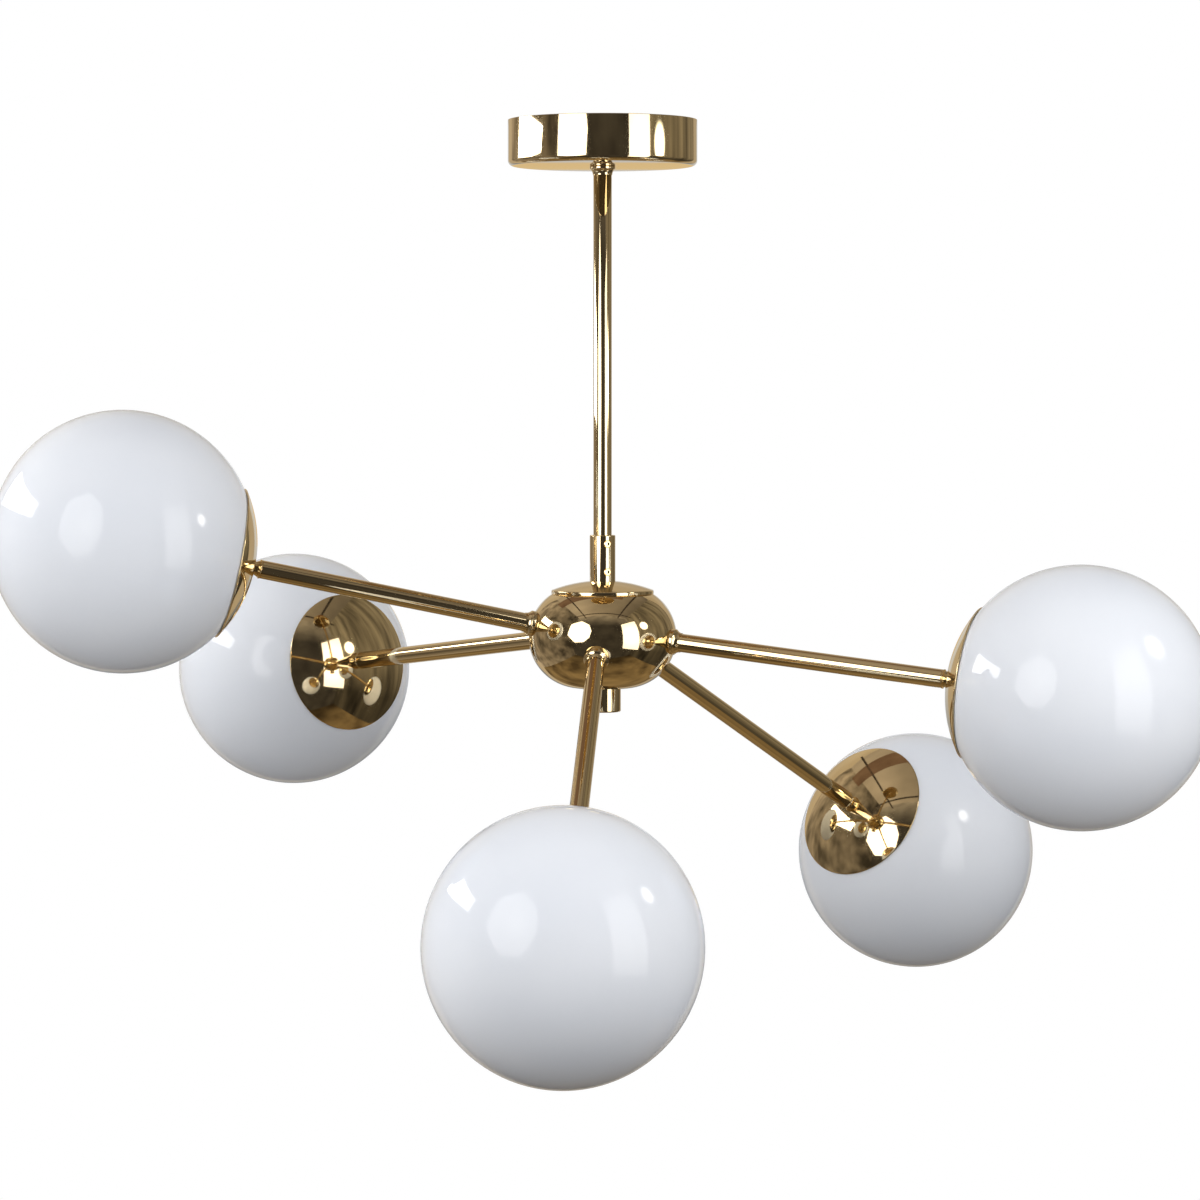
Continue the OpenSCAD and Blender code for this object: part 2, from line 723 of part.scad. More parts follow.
ceiling_bracket();
earth_screw();
terminal_block();
terminal_screws();
stem_nuts();
stem();
canopy();
canopy_collar();
collar_screw();
sleeve();
sleeve_screws();
hub_lid();
hub_bowl();
tie_rod();
rod_nuts();
finial();
arm_nuts();
for (i = [0 : len(LIGHTS) - 1]) {
  arm_tube(i);
  arm_flange(i);
  arm_neck(i);
  cap(i);
  glass_clip(i);
  lampholder(i);
  bulb(i);
  globe(i);
}
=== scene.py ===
"""The looks of the ceiling light: five opal glass globes on polished arms round a squat hub."""

import math

import bmesh
import bpy
from mathutils import Matrix, Vector


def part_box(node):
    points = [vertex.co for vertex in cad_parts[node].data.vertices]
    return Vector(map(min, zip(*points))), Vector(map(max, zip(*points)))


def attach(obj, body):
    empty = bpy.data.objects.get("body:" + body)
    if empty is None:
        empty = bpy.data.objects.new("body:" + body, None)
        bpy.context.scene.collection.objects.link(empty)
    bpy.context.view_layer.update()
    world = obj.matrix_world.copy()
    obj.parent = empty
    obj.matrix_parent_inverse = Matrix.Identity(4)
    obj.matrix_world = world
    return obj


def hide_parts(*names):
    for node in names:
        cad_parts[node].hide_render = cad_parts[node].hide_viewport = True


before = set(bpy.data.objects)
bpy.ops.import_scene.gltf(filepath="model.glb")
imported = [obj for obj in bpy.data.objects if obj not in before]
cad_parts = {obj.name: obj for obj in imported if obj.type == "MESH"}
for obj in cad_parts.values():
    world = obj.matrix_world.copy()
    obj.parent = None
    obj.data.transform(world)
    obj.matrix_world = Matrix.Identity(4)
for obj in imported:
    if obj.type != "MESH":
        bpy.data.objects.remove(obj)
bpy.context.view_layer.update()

MM = 0.001
LIGHTS = ["left_front", "left_rear", "front", "right_rear", "right_front"]

# Sizes of the part, in metres, measured from the ceiling down where they are levels
CANOPY_R = 51.5 * MM
CANOPY_H = 25 * MM
CANOPY_WALL = 1 * MM
CANOPY_EDGE_R = 3 * MM
HUB_DROP = 281.5 * MM
STEM_R = 5 * MM
STEM_WALL = 1.1 * MM
SLEEVE_R = 7 * MM
SLEEVE_L = 24.9 * MM
SLEEVE_FLOOR = 2.8 * MM
SET_SCREW_LEVELS = [4.9 * MM, 20.2 * MM]
SET_SCREW_R = 2 * MM
SET_SCREW_TURN = math.radians(-66)
HUB_R = 40.5 * MM
HUB_SIDE_R = 28 * MM
MOUTH_RISE = 23.5 * MM
HUB_WALL = 1.2 * MM
LID_LAP = 0.3 * MM
LID_EDGE = 2 * MM
LID_RISE = 5.3 * MM
ROD_R = 4 * MM
FINIAL_R = 10 * MM
FINIAL_H = 13 * MM
FINIAL_HOLE = 9 * MM
ARM_TURN = [193.5, 127.5, 265, 47, 340.5]
ARM_TILT = [11.8, -6.7, -34.9, -28, -6.3]
ARM_RISE = [1.5 * MM, 1.5 * MM, 10.5 * MM, 1.5 * MM, 1.5 * MM]
ARM_L = [165 * MM, 208 * MM, 165 * MM, 208 * MM, 165 * MM]
ARM_RING_R = 9.6 * MM
ARM_INSIDE = 12.9 * MM
ARM_R = 5 * MM
ARM_WALL = 1 * MM
NECK_L = 4 * MM
NECK_TIP_R = 3.4 * MM
STUD_R = 3 * MM
STUD_BORE_R = 2 * MM
BELL_R = 7 * MM
BELL_H = 4.8 * MM
BELL_BAND = 0.8 * MM
BELL_LIP = 0.3 * MM
GLOBE_R = 70 * MM
GLASS_T = 2.2 * MM
MOUTH_R = 30 * MM
CAP_RIM_R = 40.5 * MM
CAP_WALL = 0.8 * MM
CAP_GAP = 0.3 * MM
CLIP_T = 0.8 * MM
CLIP_PLATE_R = 10 * MM
CLIP_FINGERS = 3
CLIP_FINGER_ANGLE = math.radians(18)
CLIP_GAP = 0.4 * MM
HOLDER_R = 11 * MM
HOLDER_H = 14 * MM
HOLDER_FOOT_R = 7 * MM
HOLDER_FOOT_H = 2 * MM
PIN_SPACING = 9 * MM
PIN_R = 0.6 * MM
PIN_L = 6.5 * MM
BULB_BASE_R = 8.5 * MM
BULB_BASE_H = 10 * MM
BULB_R = 7.5 * MM
BULB_L = 34 * MM
FIT = 0.05 * MM
THREAD_FIT = 0.02 * MM
FACE_GAP = 0.3 * MM
CUT_L = 9 * MM
SHARP_ANGLE = 35.0

# Levels and radii that follow from them
MID_Z = -HUB_DROP
HUB_CORE_R = HUB_R - HUB_SIDE_R
MOUTH_Z = MID_Z + MOUTH_RISE
FLOOR_Z = MID_Z - HUB_SIDE_R
MOUTH_OUT_R = HUB_CORE_R + math.sqrt(HUB_SIDE_R ** 2 - MOUTH_RISE ** 2)
MOUTH_IN_R = HUB_CORE_R + math.sqrt((HUB_SIDE_R - HUB_WALL) ** 2 - MOUTH_RISE ** 2)
LID_R = MOUTH_OUT_R + LID_LAP
LID_DOME_R = (LID_R ** 2 + LID_RISE ** 2) / (2 * LID_RISE)
LID_TOP_Z = MOUTH_Z + LID_EDGE + LID_RISE
CAP_IN_R = GLOBE_R + CAP_GAP
CAP_OUT_R = CAP_IN_R + CAP_WALL
CLIP_Z = -math.sqrt(CAP_IN_R ** 2 - CLIP_PLATE_R ** 2)
HOLDER_Z = CLIP_Z + CLIP_T
HOLDER_FACE_Z = HOLDER_Z + HOLDER_FOOT_H + HOLDER_H
BULB_Z = HOLDER_FACE_Z + FACE_GAP

# The camera, fitted to the outlines of the globes, the cap rims and the tubes in the photograph
CAMERA_AT = Vector((-1.4, -2130.7, -156.0)) * MM
CAMERA_PITCH = math.radians(2.83)
CAMERA_LENS = 117.0
SENSOR = 36.0


# Materials

def new_material(name):
    """A node material with its Principled shader and a maker of further nodes"""
    mat = bpy.data.materials.new(name)
    mat.use_nodes = True
    tree = mat.node_tree
    shader = tree.nodes["Principled BSDF"]

    def add(kind, **values):
        node = tree.nodes.new(kind)
        for key, value in values.items():
            if hasattr(node, key):
                setattr(node, key, value)
            else:
                node.inputs[key].default_value = value
        return node

    return mat, tree.links.new, shader, add


def object_noise(add, link, scale, detail=3.0, stretch=(1, 1, 1)):
    """Noise in the object's own metres"""
    coords = add("ShaderNodeTexCoord")
    mapping = add("ShaderNodeMapping")
    mapping.inputs["Scale"].default_value = stretch
    noise = add("ShaderNodeTexNoise", Scale=scale, Detail=detail)
    link(coords.outputs["Object"], mapping.inputs["Vector"])
    link(mapping.outputs["Vector"], noise.inputs["Vector"])
    return noise


def ramp(add, link, source, low, high, start=0.35, end=0.65):
    """Maps a grey value to a run between two colours"""
    node = add("ShaderNodeValToRGB")
    node.color_ramp.elements[0].position = start
    node.color_ramp.elements[1].position = end
    node.color_ramp.elements[0].color = (*low, 1)
    node.color_ramp.elements[1].color = (*high, 1)
    link(source, node.inputs["Fac"])
    return node


def spread(add, link, source, low, high):
    """Maps a grey value to a range of numbers"""
    node = add("ShaderNodeMapRange")
    node.inputs["From Min"].default_value = 0.3
    node.inputs["From Max"].default_value = 0.7
    node.inputs["To Min"].default_value = low
    node.inputs["To Max"].default_value = high
    link(source, node.inputs["Value"])
    return node


def bump(add, link, shader, source, height, strength=1.0):
    """Adds a height in metres to the shader's normal"""
    node = add("ShaderNodeBump", Strength=strength, Distance=height)
    link(source, node.inputs["Height"])
    link(node.outputs["Normal"], shader.inputs["Normal"])
    return node


def polished_brass():
    """Bright plated brass: slow ripples from spinning, fine polishing haze"""
    mat, link, shader, add = new_material("polished_brass")
    shader.inputs["Metallic"].default_value = 1.0
    tone = object_noise(add, link, 14.0)
    colour = ramp(add, link, tone.outputs["Fac"], (0.865, 0.69, 0.41), (0.90, 0.73, 0.45))
    link(colour.outputs["Color"], shader.inputs["Base Color"])
    haze = object_noise(add, link, 900.0, 4.0)
    rough = spread(add, link, haze.outputs["Fac"], 0.035, 0.075)
    link(rough.outputs["Result"], shader.inputs["Roughness"])
    ripple = object_noise(add, link, 55.0, 1.0)
    bump(add, link, shader, ripple.outputs["Fac"], 0.05 * MM, 0.35)
    return mat


def opal_glass():
    """Blown opal glass: white body under a clear gloss, with faint drawn clouds"""
    mat, link, shader, add = new_material("opal_glass")
    cloud = object_noise(add, link, 9.0, 2.0, (1, 1, 2.2))
    colour = ramp(add, link, cloud.outputs["Fac"], (0.79, 0.81, 0.85), (0.83, 0.845, 0.875), 0.3, 0.7)
    link(colour.outputs["Color"], shader.inputs["Base Color"])
    shader.inputs["IOR"].default_value = 1.42
    haze = object_noise(add, link, 300.0)
    rough = spread(add, link, haze.outputs["Fac"], 0.01, 0.028)
    link(rough.outputs["Result"], shader.inputs["Roughness"])
    ripple = object_noise(add, link, 16.0, 1.0)
    bump(add, link, shader, ripple.outputs["Fac"], 0.08 * MM, 0.3)
    return mat


def zinc_steel():
    """Zinc plated steel with a mottled blue-white passivation and rolled grain"""
    mat, link, shader, add = new_material("zinc_steel")
    shader.inputs["Metallic"].default_value = 1.0
    tone = object_noise(add, link, 260.0, 4.0)
    colour = ramp(add, link, tone.outputs["Fac"], (0.33, 0.34, 0.36), (0.45, 0.46, 0.485))
    link(colour.outputs["Color"], shader.inputs["Base Color"])
    grain = object_noise(add, link, 1400.0, 3.0, (0.08, 1, 1))
    rough = spread(add, link, grain.outputs["Fac"], 0.34, 0.5)
    link(rough.outputs["Result"], shader.inputs["Roughness"])
    bump(add, link, shader, grain.outputs["Fac"], 0.01 * MM, 0.5)
    return mat


def spring_steel():
    """Bright rolled spring strip"""
    mat, link, shader, add = new_material("spring_steel")
    shader.inputs["Metallic"].default_value = 1.0
    tone = object_noise(add, link, 120.0, 2.0)
    colour = ramp(add, link, tone.outputs["Fac"], (0.40, 0.40, 0.41), (0.49, 0.49, 0.505))
    link(colour.outputs["Color"], shader.inputs["Base Color"])
    grain = object_noise(add, link, 1800.0, 3.0, (1, 1, 0.06))
    rough = spread(add, link, grain.outputs["Fac"], 0.16, 0.28)
    link(rough.outputs["Result"], shader.inputs["Roughness"])
    bump(add, link, shader, grain.outputs["Fac"], 0.006 * MM, 0.5)
    return mat


def glazed_ceramic():
    """Pressed ceramic with a thin glaze and fine specks"""
    mat, link, shader, add = new_material("glazed_ceramic")
    speck = object_noise(add, link, 600.0, 2.0)
    colour = ramp(add, link, speck.outputs["Fac"], (0.58, 0.565, 0.52), (0.66, 0.645, 0.60), 0.25, 0.5)
    link(colour.outputs["Color"], shader.inputs["Base Color"])
    shader.inputs["Coat Weight"].default_value = 0.4
    shader.inputs["Coat Roughness"].default_value = 0.12
    rough = spread(add, link, speck.outputs["Fac"], 0.32, 0.5)
    link(rough.outputs["Result"], shader.inputs["Roughness"])
    bump(add, link, shader, speck.outputs["Fac"], 0.008 * MM, 0.3)
    return mat


def frosted_lamp():
    """Frosted capsule lamp: etched white envelope"""
    mat, link, shader, add = new_material("frosted_lamp")
    etch = object_noise(add, link, 500.0, 2.0)
    colour = ramp(add, link, etch.outputs["Fac"], (0.60, 0.595, 0.57), (0.67, 0.665, 0.64))
    link(colour.outputs["Color"], shader.inputs["Base Color"])
    shader.inputs["Subsurface Weight"].default_value = 0.25
    shader.inputs["Subsurface Radius"].default_value = (0.006, 0.005, 0.004)
    rough = spread(add, link, etch.outputs["Fac"], 0.3, 0.45)
    link(rough.outputs["Result"], shader.inputs["Roughness"])
    bump(add, link, shader, etch.outputs["Fac"], 0.005 * MM, 0.3)
    return mat


def terminal_plastic():
    """Translucent white moulded plastic with a fine spark-eroded face"""
    mat, link, shader, add = new_material("terminal_plastic")
    face = object_noise(add, link, 700.0, 2.0)
    colour = ramp(add, link, face.outputs["Fac"], (0.54, 0.54, 0.52), (0.61, 0.61, 0.59))
    link(colour.outputs["Color"], shader.inputs["Base Color"])
    shader.inputs["Subsurface Weight"].default_value = 0.2
    shader.inputs["Subsurface Radius"].default_value = (0.003, 0.003, 0.003)
    rough = spread(add, link, face.outputs["Fac"], 0.45, 0.6)
    link(rough.outputs["Result"], shader.inputs["Roughness"])
    bump(add, link, shader, face.outputs["Fac"], 0.006 * MM, 0.3)
    return mat


BRASS = polished_brass()
OPAL = opal_glass()
ZINC = zinc_steel()
SPRING = spring_steel()
CERAMIC = glazed_ceramic()
LAMP = frosted_lamp()
PLASTIC = terminal_plastic()


# Mesh helpers

def finish_mesh(mesh, sharp=SHARP_ANGLE):
    """Smooth faces with sharp edges past an angle in degrees"""
    mesh.validate()
    mesh.shade_smooth()
    mesh.set_sharp_from_angle(angle=math.radians(sharp))


def add_object(name, mesh, material):
    mesh.materials.clear()
    mesh.materials.append(material)
    obj = bpy.data.objects.new(name, mesh)
    bpy.context.scene.collection.objects.link(obj)
    return obj


def arc(centre_r, centre_z, radius, start, end, steps):
    """Points on an arc in the profile plane, angles in degrees from the outward direction"""
    points = []
    for k in range(steps + 1):
        angle = math.radians(start + (end - start) * k / steps)
        points.append((centre_r + radius * math.cos(angle), centre_z + radius * math.sin(angle)))
    return points


def revolve(name, profile, material, place=Matrix(), steps=160, start=0.0, sweep=2 * math.pi,
            sharp=SHARP_ANGLE):
    """Turns a profile of (radius, height) points round local Z; a full turn of a closed profile is a ring"""
    verts, faces = [], []
    full = sweep >= 2 * math.pi - 1e-6
    rings = steps if full else steps + 1
    for k in range(rings):
        angle = start + sweep * k / steps
        turn = (math.cos(angle), math.sin(angle))
        verts += [place @ Vector((r * turn[0], r * turn[1], z)) for r, z in profile]
    count = len(profile)
    for k in range(steps):
        here, there = k * count, ((k + 1) % rings) * count
        for j in range(count):
            after = (j + 1) % count
            faces.append((here + j, there + j, there + after, here + after))
    if not full:
        last = (rings - 1) * count
        faces.append(tuple(range(count)))
        faces.append(tuple(range(last, last + count))[::-1])
    mesh = bpy.data.meshes.new(name)
    mesh.from_pydata([v[:] for v in verts], [], faces)
    bm = bmesh.new()
    bm.from_mesh(mesh)
    bmesh.ops.remove_doubles(bm, verts=bm.verts, dist=1e-7)
    bmesh.ops.dissolve_degenerate(bm, dist=1e-8, edges=bm.edges)
    bmesh.ops.recalc_face_normals(bm, faces=bm.faces)
    bm.to_mesh(mesh)
    bm.free()
    finish_mesh(mesh, sharp)
    return add_object(name, mesh, material)


def cut(target, cutters):
    """Takes the cutters out of the target and deletes them"""
    for cutter in cutters:
        mod = target.modifiers.new("cut", "BOOLEAN")
        mod.operation = "DIFFERENCE"
        mod.solver = "EXACT"
        mod.object = cutter
    graph = bpy.context.evaluated_depsgraph_get()
    mesh = bpy.data.meshes.new_from_object(target.evaluated_get(graph))
    material = target.data.materials[0]
    target.modifiers.clear()
    target.data = mesh
    mesh.materials.clear()
    mesh.materials.append(material)
    for cutter in cutters:
        bpy.data.objects.remove(cutter)
    for polygon in mesh.polygons:
        polygon.material_index = 0
    finish_mesh(mesh)
    return target


def cutter_rod(place, radius, length, sides=64):
    """A closed rod that cut() takes out of a piece"""
    profile = [(0.0, 0.0), (radius, 0.0), (radius, length), (0.0, length)]
    return revolve("cutter", profile, BRASS, place, steps=sides)


def arm_place(i, along=0.0):
    """Frame of an arm: local Z runs outward from the arm ring"""
    return (
        Matrix.Translation((0, 0, MID_Z + ARM_RISE[i]))
        @ Matrix.Rotation(math.radians(ARM_TURN[i]), 4, "Z")
        @ Matrix.Translation((ARM_RING_R, 0, 0))
        @ Matrix.Rotation(math.radians(90 - ARM_TILT[i]), 4, "Y")
        @ Matrix.Translation((0, 0, along))
    )


def arm_start(i):
    """Distance from the arm ring to the inner end of a tube"""
    return skin_along(i, 0, 0) - ARM_INSIDE


def arm_end(i):
    """Distance from the arm ring to the outer end of a tube"""
    return arm_start(i) + ARM_L[i]


def globe_place(i):
    """Frame of a globe: origin at its centre, mouth towards local -Z"""
    return arm_place(i, arm_end(i) + NECK_L + CAP_OUT_R)


def off_hub(point, grow=0.0):
    """How far a point lies outside the hub's rounded side"""
    across = math.hypot(point.x, point.y) - HUB_CORE_R
    return math.hypot(across, point.z - MID_Z) - HUB_SIDE_R - grow


def skin_along(i, x, y, grow=0.0):
    """Where a line beside an arm's axis, at a local offset, leaves the hub's side"""
    place = arm_place(i)
    low, high = 10 * MM, 60 * MM
    for _ in range(40):
        middle = (low + high) / 2
        if off_hub(place @ Vector((x, y, middle)), grow) < 0:
            low = middle
        else:
            high = middle
    return (low + high) / 2


def bell_profile(hole_r, base=0.0):
    """Section of a bell ring: a rounded band, then a hollow flare that ends in a thin lip round the tube"""
    flare = BELL_H - BELL_BAND
    waist = ARM_R + BELL_LIP
    soft = 0.25 * MM
    start = 360 - math.degrees(math.acos((BELL_R - waist - flare) / flare))
    band_top = BELL_H + flare * math.sin(math.radians(start))
    points = [(hole_r, base)]
    points += arc(BELL_R - soft, base + soft, soft, -90, 0, 4)
    points += arc(BELL_R - soft, band_top - soft, soft, 0, 70, 4)
    points += arc(waist + flare, BELL_H, flare, start, 180, 14)[1:]
    points += [(hole_r, BELL_H)]
    return points


# Pieces above the hub

def make_canopy():
    soft = 0.3 * MM
    outer = [(STEM_R + FACE_GAP, -CANOPY_H)]
    outer += arc(CANOPY_R - CANOPY_EDGE_R, -CANOPY_H + CANOPY_EDGE_R, CANOPY_EDGE_R, -90, 0, 14)
    outer += arc(CANOPY_R - soft, -soft, soft, 0, 90, 4)
    inner_edge = CANOPY_EDGE_R - CANOPY_WALL
    inner_r = CANOPY_R - CANOPY_WALL
    outer += arc(inner_r + soft, -soft, soft, 90, 180, 4)
    outer += arc(inner_r - inner_edge, -CANOPY_H + CANOPY_WALL + inner_edge, inner_edge, 0, -90, 10)
    outer += [(STEM_R + FACE_GAP, -CANOPY_H + CANOPY_WALL)]
    canopy = revolve("canopy_spun_cup", outer, BRASS, steps=256)
    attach(canopy, "canopy")
    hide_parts("canopy")


def make_collar():
    level = Matrix.Translation((0, 0, -CANOPY_H)) @ Matrix.Rotation(math.pi, 4, "X")
    collar = revolve("collar_bell", bell_profile(STEM_R + FIT), BRASS, level)
    screw_r = 1.25 * MM
    screw_drop = 1.5 * MM
    screw_level = Matrix.Translation((0, 0, -CANOPY_H - screw_drop))
    screw_place = screw_level @ Matrix.Rotation(math.radians(90), 4, "Z")
    along_x = screw_place @ Matrix.Rotation(math.radians(90), 4, "Y")
    cut(collar, [cutter_rod(along_x, screw_r + THREAD_FIT, CUT_L)])
    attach(collar, "canopy")
    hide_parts("canopy_collar")
    screw = make_grub_screw("collar_grub_screw", screw_place, STEM_R + 2 * FIT, BELL_R - 2 * FIT, screw_r)
    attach(screw, "canopy")
    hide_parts("collar_screw")


def make_grub_screw(name, place, tip, end, radius):
    """Socket screw along local X, with chamfered ends, thread turns and a hexagon socket"""
    chamfer = 0.2 * radius
    pitch = 0.35 * radius
    flank = 0.3 * pitch
    thread_depth = 0.12 * radius
    socket_r, socket_depth, hexagon = 0.58 * radius, 0.6 * radius, 6
    profile = [(0.0, tip), (radius - 2 * chamfer, tip), (radius, tip + 2 * chamfer)]
    z = tip + 2 * chamfer + pitch
    while z + pitch < end - chamfer:
        profile += [(radius, z - flank), (radius - thread_depth, z), (radius, z + flank)]
        z += pitch
    profile += [(radius, end - chamfer), (radius - chamfer, end), (0.0, end)]
    along_x = place @ Matrix.Rotation(math.radians(90), 4, "Y")
    screw = revolve(name, profile, BRASS, along_x, steps=64)
    socket_place = along_x @ Matrix.Translation((0, 0, end - socket_depth))
    return cut(screw, [cutter_rod(socket_place, socket_r, radius, hexagon)])


def make_stem():
    """Tube with fine thread turns at its top, where the nuts clamp it"""
    box_low, box_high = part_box("stem")
    top, foot = box_high[2], box_low[2]
    soft = 0.3 * MM
    bore = STEM_R - STEM_WALL
    pitch = 1.0 * MM
    depth = 0.3 * MM
    thread_l = 20 * MM
    root_from, root_to = 0.45 * pitch, 0.55 * pitch
    thread_end = top - thread_l
    profile = [(bore, foot), (STEM_R - soft, foot), (STEM_R, foot + soft), (STEM_R, thread_end)]
    z = thread_end
    while z + pitch < top - pitch:
        profile += [(STEM_R - depth, z + root_from), (STEM_R - depth, z + root_to), (STEM_R, z + pitch)]
        z += pitch
    profile += [(STEM_R - 2 * soft, top), (bore, top)]
    stem = revolve("stem_tube", profile, BRASS, steps=96)
    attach(stem, "mount")
    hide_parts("stem")


def lid_height(radius):
    """Height of the lid's dome at a distance from the axis"""
    return LID_TOP_Z - LID_DOME_R + math.sqrt(LID_DOME_R ** 2 - radius ** 2)


def make_sleeve():
    chamfer = 0.5 * MM
    top = LID_TOP_Z + SLEEVE_L
    bore = STEM_R + FIT
    rod_bore = ROD_R + THREAD_FIT
    floor_top = LID_TOP_Z + SLEEVE_FLOOR
    profile = [(rod_bore, lid_height(ROD_R) + THREAD_FIT)]
    profile += [(SLEEVE_R, lid_height(SLEEVE_R) + THREAD_FIT)]
    profile += arc(SLEEVE_R - chamfer, top - chamfer, chamfer, 0, 90, 6)
    profile += [(bore + chamfer / 2, top), (bore, top - chamfer / 2)]
    profile += [(bore, floor_top), (rod_bore, floor_top)]
    sleeve = revolve("sleeve_socket", profile, BRASS, steps=128)
    holes, screws = [], []
    for k, level in enumerate(SET_SCREW_LEVELS):
        place = Matrix.Translation((0, 0, LID_TOP_Z + level)) @ Matrix.Rotation(SET_SCREW_TURN, 4, "Z")
        along_x = place @ Matrix.Rotation(math.radians(90), 4, "Y")
        holes.append(cutter_rod(along_x, SET_SCREW_R + THREAD_FIT, CUT_L))
        screws.append(make_grub_screw(f"set_screw_{k}", place, STEM_R + 2 * FIT, SLEEVE_R, SET_SCREW_R))
    cut(sleeve, holes)
    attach(sleeve, "hub")
    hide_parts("sleeve")
    for screw in screws:
        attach(screw, "hub")
        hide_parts("sleeve_screws")


# Hub

def make_hub_lid():
    """Domed lid with a rounded turned-down edge and a locating lip"""
    soft = 0.8 * MM
    chamfer = 0.3 * MM
    lip_foot = MOUTH_Z - 3 * MM
    lip_out = MOUTH_IN_R - 0.1 * MM
    lip_in = lip_out - 1 * MM
    dome_steps = 40
    hole = ROD_R + FIT
    profile = [(hole, lid_height(hole))]
    for k in range(1, dome_steps + 1):
        radius = hole + (LID_R - soft - hole) * k / dome_steps
        profile.append((radius, lid_height(radius)))
    slope = math.degrees(math.acos((LID_R - soft) / LID_DOME_R))
    profile += arc(LID_R - soft, lid_height(LID_R - soft) - soft, soft, slope, 0, 8)[1:]
    profile += [(LID_R, MOUTH_Z + chamfer), (LID_R - chamfer, MOUTH_Z)]
    profile += [(lip_out, MOUTH_Z), (lip_out, lip_foot), (lip_in, lip_foot)]
    inner = [lip_in - (lip_in - hole) * k / dome_steps for k in range(dome_steps + 1)]
    profile += [(radius, lid_height(radius) - HUB_WALL) for radius in inner]
    lid = revolve("hub_lid_dome", profile, BRASS, steps=256)
    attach(lid, "hub")
    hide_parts("hub_lid")


def make_hub_bowl():
    """Spun bowl with a rounded side, open to the lid, with a hole for each arm"""
    start = math.degrees(math.asin(MOUTH_RISE / HUB_SIDE_R))
    inner_r = HUB_SIDE_R - HUB_WALL
    inner_start = math.degrees(math.asin(MOUTH_RISE / inner_r))
    hole = ROD_R + FIT
    outside = arc(HUB_CORE_R, MID_Z, HUB_SIDE_R, start, -90, 110)
    inside = arc(HUB_CORE_R, MID_Z, inner_r, -90, inner_start, 60)
    profile = outside + [(hole, FLOOR_Z), (hole, FLOOR_Z + HUB_WALL)] + inside
    bowl = revolve("hub_bowl_shell", profile, BRASS, steps=288)
    cut(bowl, [cutter_rod(arm_place(i, arm_start(i)), ARM_R + FIT, HUB_R, 48) for i in range(len(LIGHTS))])
    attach(bowl, "hub")
    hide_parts("hub_bowl")


def make_finial():
    soft = 0.8 * MM
    chamfer = 0.15 * MM
    low = FLOOR_Z - FINIAL_H
    hole = ROD_R + THREAD_FIT
    hole_end = FLOOR_Z - FINIAL_HOLE
    profile = [(hole, FLOOR_Z), (FINIAL_R - chamfer, FLOOR_Z), (FINIAL_R, FLOOR_Z - chamfer)]
    profile += arc(FINIAL_R - soft, low + soft, soft, 0, -90, 8)
    profile += [(0.0, low), (0.0, hole_end), (hole, hole_end)]
    finial = revolve("finial_turned", profile, BRASS, steps=128)
    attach(finial, "hub")
    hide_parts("finial")


# Arms

def make_arm_tube(i, light):
    soft = 0.25 * MM
    bore = ARM_R - ARM_WALL
    length = ARM_L[i]
    profile = [(bore, 0), (ARM_R - soft, 0), (ARM_R, soft)]
    profile += [(ARM_R, length - soft), (ARM_R - soft, length), (bore, length)]
    tube = revolve(f"arm_{light}_tube", profile, BRASS, arm_place(i, arm_start(i)), steps=96)
    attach(tube, "hub")
    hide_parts(f"arm_tube_{light}")


def make_arm_flange(i, light):
    """Bell ring whose foot follows the hub's side"""
    skin = skin_along(i, 0, 0)
    place = arm_place(i, skin)
    foot = -3 * MM
    foot_band = 0.4 * MM
    flange = revolve(f"arm_{light}_bell", bell_profile(ARM_R + THREAD_FIT, foot), BRASS, place, steps=128)
    back = place.inverted()
    for vertex in flange.data.vertices:
        local = back @ vertex.co
        if local.z < foot + foot_band:
            seat = skin_along(i, local.x, local.y, THREAD_FIT) - skin
            vertex.co = place @ Vector((local.x, local.y, seat + (local.z - foot)))
    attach(flange, "hub")
    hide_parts(f"arm_flange_{light}")


def make_arm_neck(i, light):
    """Rounded band, waisted cone and hollow stud at the end of an arm"""
    chamfer = 0.3 * MM
    band_r = ARM_R + 0.25 * MM
    bead_r = 0.5 * MM
    waist_r, waist_at = ARM_R - 0.35 * MM, 1.05 * MM
    plug_r = ARM_R - ARM_WALL - THREAD_FIT
    plug_end = -8 * MM
    stud_end = NECK_L + CAP_OUT_R + HOLDER_Z + 7 * MM
    profile = [(STUD_BORE_R, plug_end), (plug_r - chamfer, plug_end), (plug_r, plug_end + chamfer)]
    profile += [(plug_r, 0), (ARM_R, 0)]
    profile += arc(band_r - bead_r, bead_r, bead_r, -75, 75, 8)
    profile += [(waist_r, waist_at), (NECK_TIP_R, NECK_L - chamfer), (NECK_TIP_R, NECK_L), (STUD_R, NECK_L)]
    profile += [(STUD_R, stud_end - chamfer), (STUD_R - chamfer, stud_end), (STUD_BORE_R, stud_end)]
    neck = revolve(f"arm_{light}_neck", profile, BRASS, arm_place(i, arm_end(i)), steps=96)
    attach(neck, "hub")
    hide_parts(f"arm_neck_{light}")


def sphere_arc(radius, r_from, r_to, steps):
    """Points on the mouth side of a sphere between two distances from the axis"""
    start = math.asin(r_from / radius)
    end = math.asin(r_to / radius)
    angles = [start + (end - start) * k / steps for k in range(steps + 1)]
    return [(radius * math.sin(a), -radius * math.cos(a)) for a in angles]


